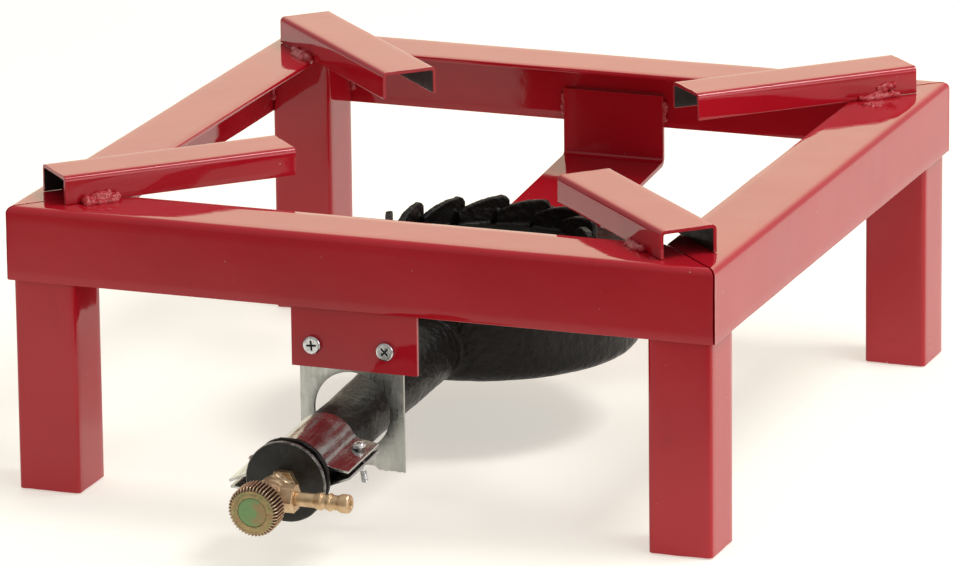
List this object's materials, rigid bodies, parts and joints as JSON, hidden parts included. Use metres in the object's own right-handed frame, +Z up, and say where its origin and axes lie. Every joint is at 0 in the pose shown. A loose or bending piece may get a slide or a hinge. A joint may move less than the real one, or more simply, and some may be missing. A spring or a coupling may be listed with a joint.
{
  "type": "gas burner stand",
  "caption": "Low square welded steel stand with pot supports, holding a cast iron swirl gas burner with mixing tube, air shutter and needle valve.",
  "frame": {"origin": "on the floor, under the middle of the whole part's bounding box", "axes": "+Z up; -Y is the front, where the valve and knob are; +X is the side that the hose barb points to"},
  "size_m": [0.45, 0.6184, 0.1955],
  "materials": {
    "frame_paint": "glossy red paint",
    "cast_iron": "black painted sand casting",
    "zinc_plate": "zinc plated sheet",
    "screw_zinc": "bright zinc plated",
    "bolt_steel": "plain steel, dulled",
    "valve_brass": "turned and forged brass",
    "shutter_black": "black satin",
    "knob_gold": "yellow passivated zinc",
    "cap_green": "greenish iridescent passivation"
  },
  "bodies": {
    "stand": {"front_rail": "frame_paint", "right_rail": "frame_paint", "rear_rail": "frame_paint", "left_rail": "frame_paint", "frame_welds": "frame_paint", "leg_front_left": "frame_paint", "leg_front_right": "frame_paint", "leg_rear_left": "frame_paint", "leg_rear_right": "frame_paint", "support_front_right": "frame_paint", "support_rear_right": "frame_paint", "support_rear_left": "frame_paint", "support_front_left": "frame_paint", "support_welds": "frame_paint", "front_hanger": "frame_paint", "rear_hanger": "frame_paint", "hanger_welds": "frame_paint", "tube_plate": "zinc_plate", "plate_screws": "screw_zinc", "plate_nuts": "screw_zinc", "burner_pan": "cast_iron", "burner_crown": "cast_iron", "crown_bolt": "bolt_steel", "crown_washer": "bolt_steel", "tongue_bolt": "bolt_steel", "tongue_nut": "bolt_steel", "clamp_saddle": "zinc_plate", "clamp_cradle": "zinc_plate", "clamp_screws": "screw_zinc", "clamp_nuts": "screw_zinc", "gas_injector": "valve_brass", "valve_body": "valve_brass", "packing_nut": "valve_brass", "hose_barb": "valve_brass"},
    "valve_stem": {"valve_stem": "valve_brass"},
    "hand_knob": {"hand_knob": "knob_gold", "knob_screw": "screw_zinc", "knob_cap": "cap_green"},
    "shutter_lock": {"shutter_lock_nut": "valve_brass"},
    "air_shutter": {"air_shutter": "shutter_black"}
  },
  "joints": [
    {"name": "stem_travel", "type": "slide", "parent": "stand", "child": "valve_stem", "axis": [0, -0.9981, -0.061], "range_m": [0, 0.0019]},
    {"name": "knob_turn", "type": "hinge", "parent": "valve_stem", "child": "hand_knob", "pos_m": [-0.005, -0.29337, 0.05436], "axis": [0, -0.9981, -0.061], "range_deg": [0, 540]},
    {"name": "shutter_travel", "type": "slide", "parent": "stand", "child": "shutter_lock", "axis": [0, -0.9981, -0.061], "range_m": [-0.0046, 0.0031]},
    {"name": "shutter_turn", "type": "hinge", "parent": "shutter_lock", "child": "air_shutter", "pos_m": [-0.005, -0.25364, 0.05679], "axis": [0, -0.9981, -0.061], "range_deg": [-1080, 720]}
  ],
  "couplings": [
    {"joint": "stem_travel", "follows": "knob_turn", "m_per_rad": 0.00019894},
    {"joint": "shutter_travel", "follows": "shutter_turn", "m_per_rad": 0.00023873}
  ]
}
